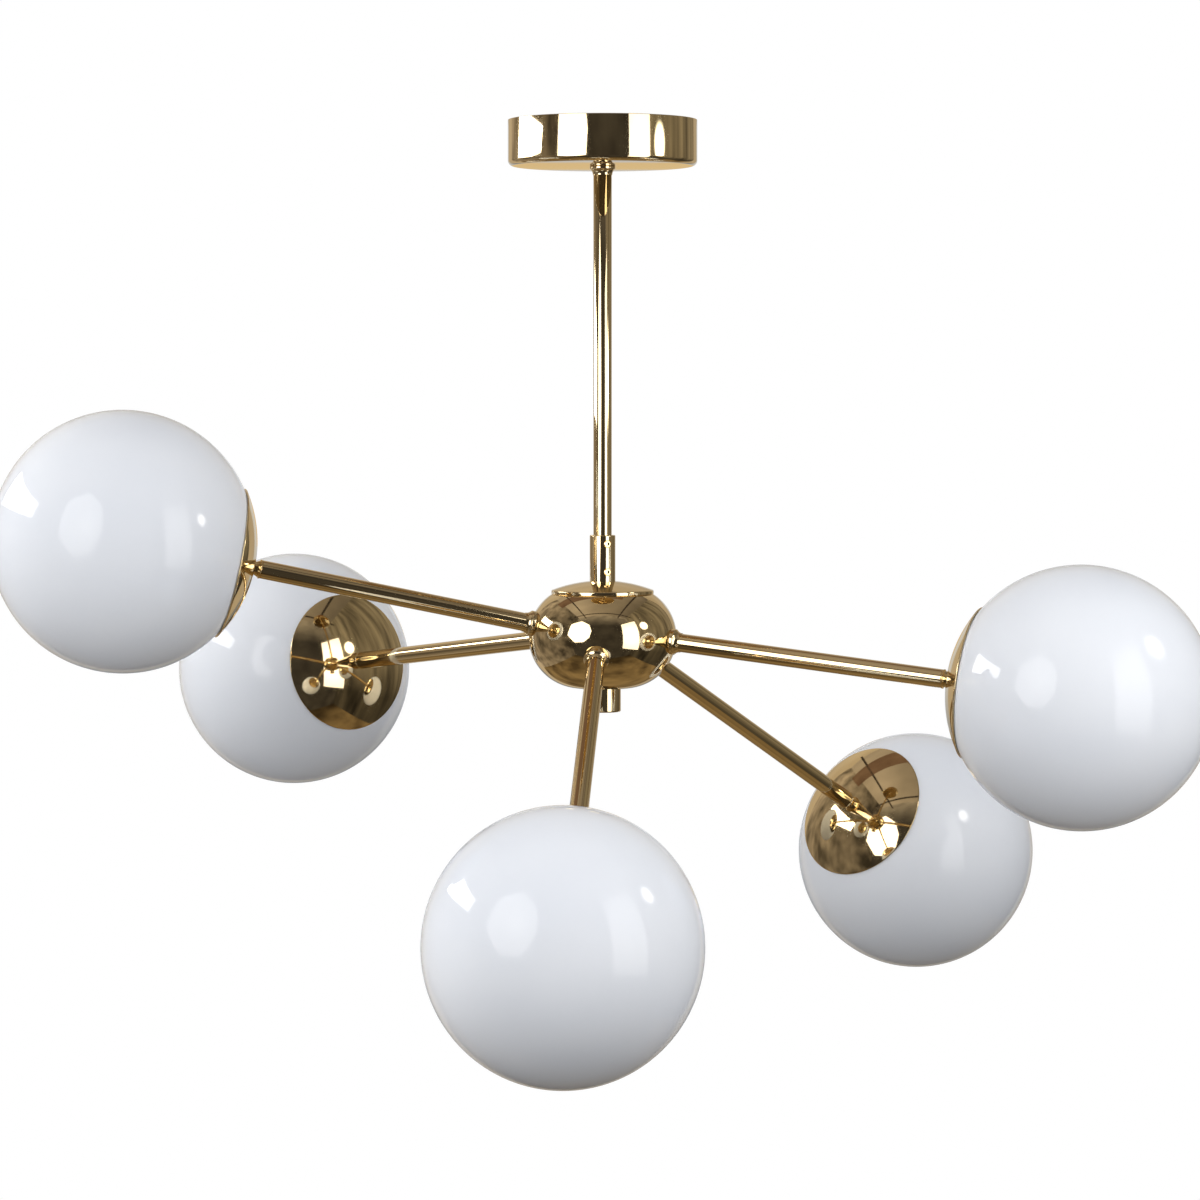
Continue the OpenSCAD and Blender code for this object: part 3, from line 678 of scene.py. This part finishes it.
def make_cap(i, light):
    """Spun cap with a rounded rim and a hole for the stud"""
    hole = STUD_R + FIT
    soft = CAP_WALL / 2
    middle = (CAP_OUT_R + CAP_IN_R) / 2
    end = math.asin((CAP_RIM_R - 0.1 * MM) / CAP_OUT_R)
    rim = (middle * math.sin(end), -middle * math.cos(end))
    outside = sphere_arc(CAP_OUT_R, hole, CAP_OUT_R * math.sin(end), 60)
    inside = sphere_arc(CAP_IN_R, hole, CAP_IN_R * math.sin(end), 60)
    tilt = math.degrees(end) - 90
    round_rim = arc(rim[0], rim[1], soft, tilt, tilt + 180, 8)
    profile = outside + round_rim[1:-1] + inside[::-1]
    cap = revolve(f"cap_{light}_spun", profile, BRASS, globe_place(i), steps=224)
    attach(cap, "hub")
    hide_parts(f"cap_{light}")


# Inside the globes

def make_glass_clip(i, light):
    """Spring plate with bent fingers, made from one strip section per finger"""
    place = globe_place(i)
    half = CLIP_T / 2
    hole = STUD_R + FIT
    chamfer = 0.2 * MM
    top = CLIP_Z + CLIP_T
    plate = [(hole, CLIP_Z), (CLIP_PLATE_R - chamfer, CLIP_Z), (CLIP_PLATE_R, CLIP_Z + chamfer)]
    plate += [(CLIP_PLATE_R, top - chamfer), (CLIP_PLATE_R - chamfer, top), (hole, top)]
    pieces = [revolve(f"clip_{light}_plate", plate, SPRING, place, steps=96)]
    mouth_edge = -math.sqrt(GLOBE_R ** 2 - MOUTH_R ** 2)
    grip = MOUTH_R - CLIP_GAP - half
    bend_r = MOUTH_R - 6 * MM
    bend_z = -math.sqrt(CAP_IN_R ** 2 - bend_r ** 2) + CLIP_T + 6 * FIT
    path = [(CLIP_PLATE_R - 0.5 * MM, CLIP_Z + half), (bend_r, bend_z), (grip - CLIP_T, mouth_edge + half)]
    path += [(grip, mouth_edge + 4 * CLIP_T), (grip, mouth_edge + 6 * CLIP_T)]
    path += [(grip - 3 * CLIP_T, mouth_edge + 10 * CLIP_T)]
    fold_r = 1.2 * MM
    section = strip_section(rounded(path, fold_r), CLIP_T)
    for k in range(CLIP_FINGERS):
        start = 2 * math.pi * k / CLIP_FINGERS - CLIP_FINGER_ANGLE / 2
        name = f"clip_{light}_finger_{k}"
        pieces.append(revolve(name, section, SPRING, place, 10, start, CLIP_FINGER_ANGLE))
    for piece in pieces:
        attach(piece, "hub")
        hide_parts(f"glass_clip_{light}")


def rounded(path, radius, steps=5):
    """Rounds the inner corners of an open path"""
    points = [Vector(path[0])]
    for before, corner, after in zip(path, path[1:], path[2:]):
        corner, before, after = Vector(corner), Vector(before), Vector(after)
        back, on = before - corner, after - corner
        reach = min(radius, back.length / 2.5, on.length / 2.5)
        first, last = corner + back.normalized() * reach, corner + on.normalized() * reach
        for k in range(steps + 1):
            t = k / steps
            points.append(first * (1 - t) ** 2 + corner * 2 * t * (1 - t) + last * t ** 2)
    points.append(Vector(path[-1]))
    return points


def strip_section(path, thickness):
    """Closed outline of a strip of even thickness along a path"""
    left, right = [], []
    for k, point in enumerate(path):
        before = path[max(k - 1, 0)]
        after = path[min(k + 1, len(path) - 1)]
        along = (after - before).normalized()
        side = Vector((-along.y, along.x)) * thickness / 2
        left.append(tuple(point + side))
        right.append(tuple(point - side))
    return left + right[::-1]


def make_lampholder(i, light):
    """Pressed ceramic holder with a stepped top, two pin holes and a foot"""
    soft = 0.6 * MM
    chamfer = 1.5 * MM
    top = HOLDER_FACE_Z
    low = HOLDER_Z + HOLDER_FOOT_H
    hole = STUD_R + THREAD_FIT
    hole_end = HOLDER_Z + 8 * MM
    foot_edge = 0.3 * MM
    shoulder = 0.5 * MM
    pin_hole_r, pin_hole_depth = 1 * MM, 5 * MM
    profile = [(hole, HOLDER_Z), (HOLDER_FOOT_R - foot_edge, HOLDER_Z)]
    profile += [(HOLDER_FOOT_R, HOLDER_Z + foot_edge), (HOLDER_FOOT_R, low)]
    profile += arc(HOLDER_R - soft, low + soft, soft, -90, 0, 6)
    profile += [(HOLDER_R, top - chamfer - shoulder)]
    profile += arc(HOLDER_R - chamfer, top - chamfer, chamfer, 20, 90, 8)
    profile += [(0.0, top), (0.0, hole_end), (hole, hole_end)]
    place = globe_place(i)
    holder = revolve(f"holder_{light}_ceramic", profile, CERAMIC, place, steps=96)
    holes = []
    for side in (-1, 1):
        at = Matrix.Translation((side * PIN_SPACING / 2, 0, top - pin_hole_depth))
        holes.append(cutter_rod(place @ at, pin_hole_r, pin_hole_depth + 1 * MM, 32))
    cut(holder, holes)
    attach(holder, "hub")
    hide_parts(f"lampholder_{light}")


def make_bulb(i, light):
    """Capsule lamp: pins, ribbed base and a frosted envelope with a round tip"""
    place = globe_place(i) @ Matrix.Translation((0, 0, BULB_Z))
    base = ribbed_base(f"bulb_{light}_base", place)
    straight = BULB_BASE_H + BULB_L - BULB_R
    sunk = 0.5 * MM
    profile = [(0.0, BULB_BASE_H - sunk), (BULB_R - sunk, BULB_BASE_H - sunk)]
    profile += [(BULB_R, BULB_BASE_H + 0.2 * MM)]
    profile += arc(0.0, straight, BULB_R, 0, 82, 18)
    profile += [(0.0, straight + BULB_R)]
    envelope = revolve(f"bulb_{light}_envelope", profile, LAMP, place, steps=72)
    pieces = [base, envelope]
    pin_tip = PIN_R * 0.6
    for side in (-1, 1):
        at = place @ Matrix.Translation((side * PIN_SPACING / 2, 0, -PIN_L))
        pin = [(0.0, 0.0), (pin_tip, 0.0), (PIN_R, pin_tip), (PIN_R, PIN_L), (0.0, PIN_L)]
        pieces.append(revolve(f"bulb_{light}_pin_{'a' if side < 0 else 'b'}", pin, ZINC, at, steps=24))
    for piece in pieces:
        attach(piece, f"lamp_{light}")
        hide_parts(f"bulb_{light}")


def ribbed_base(name, place):
    """Base with shallow grip ribs between two plain bands"""
    ribs, per_rib = 24, 8
    steps = ribs * per_rib
    rib_depth = 0.25 * MM
    edge, band, rib_at = 0.3 * MM, 1.2 * MM, 1.6 * MM
    levels = [(0.0, 0.85), (edge, 0.98), (band, 1.0), (rib_at, 1.0), (BULB_BASE_H - rib_at, 1.0)]
    levels += [(BULB_BASE_H - band, 1.0), (BULB_BASE_H - edge, 0.98), (BULB_BASE_H, 0.9)]
    ribbed_levels = (3, 4)
    verts = []
    for number, (z, scale) in enumerate(levels):
        for k in range(steps):
            angle = 2 * math.pi * k / steps
            radius = BULB_BASE_R * scale
            if number in ribbed_levels:
                radius -= rib_depth * (0.5 - 0.5 * math.cos(2 * math.pi * k / per_rib))
            verts.append(place @ Vector((radius * math.cos(angle), radius * math.sin(angle), z)))
    faces = []
    for level in range(len(levels) - 1):
        for k in range(steps):
            a, b = level * steps + k, level * steps + (k + 1) % steps
            faces.append((a, b, b + steps, a + steps))
    faces.append(tuple(range(steps))[::-1])
    faces.append(tuple(range((len(levels) - 1) * steps, len(levels) * steps)))
    mesh = bpy.data.meshes.new(name)
    mesh.from_pydata([v[:] for v in verts], [], faces)
    finish_mesh(mesh, 40)
    return add_object(name, mesh, CERAMIC)


def make_globe(i, light):
    """Blown globe with a fire-polished lip round its mouth"""
    bead = GLASS_T / 2
    bead_ring = MOUTH_R + bead
    bead_z = -math.sqrt((GLOBE_R - bead) ** 2 - bead_ring ** 2)
    steps = 150
    lip_angle = math.degrees(math.atan2(bead_ring, -bead_z))
    inner_r = GLOBE_R - GLASS_T
    outside, inside = [], []
    for k in range(steps + 1):
        polar = math.radians(lip_angle + (180 - lip_angle) * k / steps)
        outside.append((GLOBE_R * math.sin(polar), -GLOBE_R * math.cos(polar)))
        inside.append((inner_r * math.sin(polar), -inner_r * math.cos(polar)))
    outward = lip_angle - 90
    lip = arc(bead_ring, bead_z, bead, outward + 360, outward + 180, 14)
    outside[-1], inside[-1] = (0.0, GLOBE_R), (0.0, inner_r)
    profile = outside + inside[::-1] + lip[1:-1][::-1]
    globe = revolve(f"globe_{light}_glass", profile, OPAL, globe_place(i), steps=256, sharp=60)
    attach(globe, f"shade_{light}")
    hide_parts(f"globe_{light}")


# CAD nodes that are shown as they are

def dress_cad_nodes():
    """Gives the hidden metal and plastic pieces their materials"""
    dressed = {
        "ceiling_bracket": ZINC, "earth_screw": ZINC, "terminal_block": PLASTIC, "terminal_screws": ZINC,
        "stem_nuts": ZINC, "tie_rod": ZINC, "rod_nuts": ZINC, "arm_nuts": ZINC,
    }
    for name, material in dressed.items():
        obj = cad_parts[name]
        for slot in obj.material_slots:
            slot.link = "OBJECT"
            slot.material = material


# Studio

def white_world():
    """White to the camera and in gloss and glass, a soft grey as light"""
    world = bpy.data.worlds.new("studio")
    bpy.context.scene.world = world
    world.use_nodes = True
    tree = world.node_tree
    tree.nodes.clear()
    out = tree.nodes.new("ShaderNodeOutputWorld")
    path = tree.nodes.new("ShaderNodeLightPath")
    seen = tree.nodes.new("ShaderNodeMath")
    seen.operation = "MAXIMUM"
    tree.links.new(path.outputs["Is Camera Ray"], seen.inputs[0])
    tree.links.new(path.outputs["Is Glossy Ray"], seen.inputs[1])
    shown = tree.nodes.new("ShaderNodeMath")
    shown.operation = "MAXIMUM"
    tree.links.new(seen.outputs[0], shown.inputs[0])
    tree.links.new(path.outputs["Is Transmission Ray"], shown.inputs[1])
    coords = tree.nodes.new("ShaderNodeTexCoord")
    parts = tree.nodes.new("ShaderNodeSeparateXYZ")
    tree.links.new(coords.outputs["Generated"], parts.inputs[0])
    level = tree.nodes.new("ShaderNodeMapRange")
    low_z, high_z, low_level, high_level = -0.8, 0.7, 0.22, 0.60
    level.inputs["From Min"].default_value = low_z
    level.inputs["From Max"].default_value = high_z
    level.inputs["To Min"].default_value = low_level
    level.inputs["To Max"].default_value = high_level
    tree.links.new(parts.outputs["Z"], level.inputs["Value"])
    ambient = tree.nodes.new("ShaderNodeBackground")
    ambient.inputs["Color"].default_value = (0.94, 0.96, 1.0, 1)
    tree.links.new(level.outputs["Result"], ambient.inputs["Strength"])
    white = tree.nodes.new("ShaderNodeBackground")
    white.inputs["Color"].default_value = (1, 1, 1, 1)
    white.inputs["Strength"].default_value = 1.0
    mix = tree.nodes.new("ShaderNodeMixShader")
    tree.links.new(shown.outputs[0], mix.inputs["Fac"])
    tree.links.new(ambient.outputs[0], mix.inputs[1])
    tree.links.new(white.outputs[0], mix.inputs[2])
    tree.links.new(mix.outputs[0], out.inputs["Surface"])


HUB_CENTRE = Vector((0, 0, -HUB_DROP))


def facing(at, direction):
    """Frame of a lamp face at a place: local -Z looks along the direction, local Y stays up"""
    look = Vector(direction).to_track_quat("-Z", "Y").to_matrix().to_4x4()
    return Matrix.Translation(at) @ look


def soft_light(name, at, width, height, level, shape="RECTANGLE", toward=HUB_CENTRE):
    """Area lamp that looks at a point, hidden from the camera and from gloss. The level is how bright its
    face is, where 1 is white."""
    data = bpy.data.lights.new(name, "AREA")
    data.shape = shape
    data.size = width
    area = math.pi * width * height / 4
    if shape == "RECTANGLE":
        data.size_y = height
        area = width * height
    data.energy = level * math.pi * area
    lamp = bpy.data.objects.new(name, data)
    bpy.context.scene.collection.objects.link(lamp)
    lamp.matrix_world = facing(at, toward - at)
    lamp.visible_camera = False
    lamp.visible_glossy = False


def card_material(name, low, high, scale, fade=None, stretch=(1, 1, 1)):
    """Self-lit card with a soft mottle. A fade is an axis and how the card's light runs along it: from a
    place with a level to a place with a level."""
    mat, link, shader, add = new_material(name)
    tree = mat.node_tree
    noise = object_noise(add, link, scale, 2.0, stretch)
    colour = ramp(add, link, noise.outputs["Fac"], low, high, 0.3, 0.7)
    glow = add("ShaderNodeEmission", Strength=1.0)
    link(colour.outputs["Color"], glow.inputs["Color"])
    if fade:
        axis, start, start_level, end, end_level = fade
        coords = add("ShaderNodeTexCoord")
        parts = add("ShaderNodeSeparateXYZ")
        link(coords.outputs["Object"], parts.inputs[0])
        run = add("ShaderNodeMapRange")
        run.inputs["From Min"].default_value = start
        run.inputs["From Max"].default_value = end
        run.inputs["To Min"].default_value = start_level
        run.inputs["To Max"].default_value = end_level
        link(parts.outputs[axis], run.inputs["Value"])
        link(run.outputs["Result"], glow.inputs["Strength"])
    link(glow.outputs["Emission"], tree.nodes["Material Output"].inputs["Surface"])
    tree.nodes.remove(shader)
    return mat


def glow_material(name, colour, middle, edge, radius):
    """Lamp face with a hot middle that falls off to its edge, in the face's own metres"""
    mat, link, shader, add = new_material(name)
    tree = mat.node_tree
    coords = add("ShaderNodeTexCoord")
    length = add("ShaderNodeVectorMath", operation="LENGTH")
    link(coords.outputs["Object"], length.inputs[0])
    run = add("ShaderNodeMapRange", interpolation_type="SMOOTHSTEP")
    run.inputs["From Min"].default_value = 0.0
    run.inputs["From Max"].default_value = radius
    run.inputs["To Min"].default_value = middle
    run.inputs["To Max"].default_value = edge
    link(length.outputs["Value"], run.inputs["Value"])
    glow = add("ShaderNodeEmission")
    glow.inputs["Color"].default_value = (*colour, 1)
    link(run.outputs["Result"], glow.inputs["Strength"])
    link(glow.outputs["Emission"], tree.nodes["Material Output"].inputs["Surface"])
    tree.nodes.remove(shader)
    return mat


def card(name, corners, material):
    """Flat stage card that only gloss can see"""
    mesh = bpy.data.meshes.new(name)
    mesh.from_pydata(corners, [], [tuple(range(len(corners)))])
    obj = add_object(name, mesh, material)
    obj.visible_camera = False
    obj.visible_diffuse = False
    obj.visible_shadow = False
    obj.visible_transmission = False
    obj.visible_volume_scatter = False
    return obj


def upright(name, x0, z0, x1, z1, y, material):
    """Card that stands square to the front view"""
    return card(name, [(x0, y, z0), (x1, y, z0), (x1, y, z1), (x0, y, z1)], material)


def sidelong(name, y0, z0, y1, z1, x, material):
    """Card that stands square to the side view"""
    return card(name, [(x, y0, z0), (x, y1, z0), (x, y1, z1), (x, y0, z1)], material)


def level_card(name, x0, y0, x1, y1, z, material):
    """Card that lies level"""
    return card(name, [(x0, y0, z), (x1, y0, z), (x1, y1, z), (x0, y1, z)], material)


def lamp_face(name, place, corners, material):
    """Card in the frame of a lamp"""
    face = card(name, [(x, y, 0) for x, y in corners], material)
    face.matrix_world = place
    return face


def polygon(radius, sides):
    turns = [2 * math.pi * (k + 0.5) / sides for k in range(sides)]
    return [(radius * math.cos(turn), radius * math.sin(turn)) for turn in turns]


def rectangle(width, height):
    x, y = width / 2, height / 2
    return [(-x, -y), (x, -y), (x, y), (-x, y)]


def make_surround():
    """Cards all round the set for the polished metal to mirror: sides, a barred top and a warm base"""
    x, front, back, low, high = 2.6, -2.4, 3.8, -2.5, 3.1
    hang, stand = 0.45, 0.1
    side_front = card_material("card_front", (0.034, 0.030, 0.026), (0.060, 0.054, 0.046), 1.3,
                               ("Z", 1.2, 1.0, 3.1, 6.5))
    side_left = card_material("card_left", (0.05, 0.042, 0.032), (0.23, 0.195, 0.155), 1.3,
                              ("Y", -2.0, 0.7, 3.4, 2.4))
    side_right = card_material("card_right", (0.07, 0.06, 0.045), (0.27, 0.235, 0.175), 2.2,
                               ("Z", -1.3, 0.3, 0.2, 1.15), (1, 1, 0.2))
    top = card_material("card_top", (0.33, 0.285, 0.235), (0.46, 0.40, 0.33), 0.5,
                        ("X", -1.6, 1.05, 2.4, 0.42))
    base = card_material("card_base", (0.075, 0.052, 0.027), (0.27, 0.195, 0.10), 0.9,
                         ("Y", -2.2, 0.3, -0.5, 1.1))
    side_back = card_material("card_back", (0.46, 0.385, 0.28), (0.60, 0.51, 0.38), 0.5,
                              ("X", -2.4, 1.0, 2.4, 0.85))
    pale = card_material("card_pale", (0.60, 0.605, 0.61), (0.68, 0.685, 0.69), 1.6,
                         ("Z", -1.3, 0.35, -0.3, 1.0))
    tan = card_material("card_tan", (0.70, 0.515, 0.26), (0.82, 0.61, 0.32), 1.6)
    red = card_material("card_red", (0.125, 0.075, 0.05), (0.20, 0.13, 0.09), 1.1)
    bar = card_material("card_bar", (0.02, 0.016, 0.012), (0.05, 0.038, 0.03), 3.0)
    upright("set_front", -x, low, x, high, front, side_front)
    sidelong("set_left", front, low, back, high, -x, side_left)
    sidelong("set_right", front, low, back, high, x, side_right)
    level_card("set_top", -x, front, x, back, high, top)
    upright("set_back", -x, low, x, high, back, side_back)
    level_card("set_base", -x, front, x, back, low, base)
    upright("set_middle", -1.15, -1.6, 1.15, 0.35, back - stand, pale)
    upright("set_centre", -0.3, -0.38, 0.3, -0.1, back - 2 * stand, tan)
    level = high - hang
    level_card("set_band", -x, 0.75, 0.9, 1.95, level, red)
    level_card("set_bar_0", -x, -1.75, x, -1.62, level, bar)
    level_card("set_bar_1", 1.35, front, 1.47, back, level, bar)
    level_card("set_bar_2", -1.6, front, -1.5, back, level, bar)


def make_floor():
    """Pale floor far below the light, lifted a little for the camera"""
    mat, link, shader, add = new_material("pale_floor")
    tree = mat.node_tree
    grain = object_noise(add, link, 30.0)
    colour = ramp(add, link, grain.outputs["Fac"], (0.90, 0.90, 0.90), (0.94, 0.94, 0.94))
    link(colour.outputs["Color"], shader.inputs["Base Color"])
    shader.inputs["Roughness"].default_value = 0.8
    path = add("ShaderNodeLightPath")
    glow = add("ShaderNodeEmission", Strength=0.45)
    lifted = add("ShaderNodeAddShader")
    pick = add("ShaderNodeMixShader")
    link(shader.outputs["BSDF"], lifted.inputs[0])
    link(glow.outputs["Emission"], lifted.inputs[1])
    link(path.outputs["Is Camera Ray"], pick.inputs["Fac"])
    link(shader.outputs["BSDF"], pick.inputs[1])
    link(lifted.outputs["Shader"], pick.inputs[2])
    link(pick.outputs["Shader"], tree.nodes["Material Output"].inputs["Surface"])
    half, level = 4.0, -2.2
    corners = [(-half, -half, level), (half, -half, level), (half, half, level), (-half, half, level)]
    mesh = bpy.data.meshes.new("floor")
    mesh.from_pydata(corners, [], [(0, 1, 2, 3)])
    floor = add_object("floor", mesh, mat)
    floor.visible_diffuse = False
    floor.visible_glossy = False


def make_lamps():
    """Studio lamps placed for the highlights on the globes and the hub. The octabox, softbox, left panel and
    bare lamp each have a face that gloss can see.
    """
    flash = (1, 0.99, 0.97)
    octabox_at, octabox_look = Vector((-0.72, -1.12, 0.08)), Vector((0.95, 0.31, -0.22))
    soft_light("octabox", octabox_at, 1.08, 1.08, 2.6, "DISK", toward=octabox_at + octabox_look)
    lamp_face("octabox_face", facing(octabox_at, octabox_look), polygon(0.56, 8),
              glow_material("octabox_glow", flash, 4.4, 3.0, 0.35))
    softbox_at, softbox_look = Vector((0.735, -0.763, -0.125)), Vector((-0.873, 0.487, 0.0))
    wide, high = 0.52, 1.08
    soft_light("softbox", softbox_at, wide, high, 2.6, toward=softbox_at + softbox_look)
    lamp_face("softbox_face", facing(softbox_at, softbox_look), rectangle(wide, high),
              glow_material("softbox_glow", flash, 3.0, 2.0, 0.6))
    panel = [(-1.11, -0.262, 0.184), (-1.20, -0.24, 0.029), (-1.05, 0.68, -0.03), (-1.05, 0.60, 0.25)]
    soft_light("panel_left", Vector((-1.10, 0.20, 0.11)), 0.9, 0.24, 7.0)
    card("panel_face", panel, glow_material("panel_glow", (1, 1, 1), 8.0, 7.0, 2.0))
    bare_at, bare_r = Vector((0.715, -0.245, 0.04)), 0.115
    soft_light("bare_lamp", bare_at, 0.15, 0.15, 8.0, "DISK")
    lamp_face("bare_lamp_face", facing(bare_at, HUB_CENTRE - bare_at), polygon(bare_r, 24),
              glow_material("bare_lamp_glow", (1, 0.97, 0.9), 17.0, 0.15, bare_r))
    soft_light("backdrop_left", Vector((-0.9, 1.8, -0.2)), 1.6, 2.6, 0.85)
    soft_light("backdrop_right", Vector((0.9, 1.8, -0.2)), 1.6, 2.6, 0.7)
    soft_light("low_fill", Vector((-1.3, -0.2, -0.95)), 1.2, 1.2, 0.8)


def make_flag():
    """Dark card under the front shades, which keeps the fill off their undersides"""
    cloth = card_material("flag_cloth", (0.004, 0.004, 0.004), (0.012, 0.012, 0.012), 6.0)
    flag = level_card("flag", -0.3, -0.66, 0.36, 0.16, -0.8, cloth)
    flag.visible_diffuse = True
    flag.visible_glossy = False


def make_camera():
    data = bpy.data.cameras.new("camera")
    data.lens = CAMERA_LENS
    data.sensor_width = SENSOR
    data.clip_end = 50.0
    camera = bpy.data.objects.new("camera", data)
    camera.location = CAMERA_AT
    camera.rotation_euler = (math.pi / 2 - CAMERA_PITCH, 0, 0)
    bpy.context.scene.collection.objects.link(camera)
    bpy.context.scene.camera = camera


make_camera()
make_canopy()
make_collar()
make_stem()
make_sleeve()
make_hub_lid()
make_hub_bowl()
make_finial()
for index, light_name in enumerate(LIGHTS):
    make_arm_tube(index, light_name)
    make_arm_flange(index, light_name)
    make_arm_neck(index, light_name)
    make_cap(index, light_name)
    make_glass_clip(index, light_name)
    make_lampholder(index, light_name)
    make_bulb(index, light_name)
    make_globe(index, light_name)
dress_cad_nodes()
white_world()
make_surround()
make_floor()
make_lamps()
make_flag()
bpy.context.scene.view_settings.view_transform = "Standard"
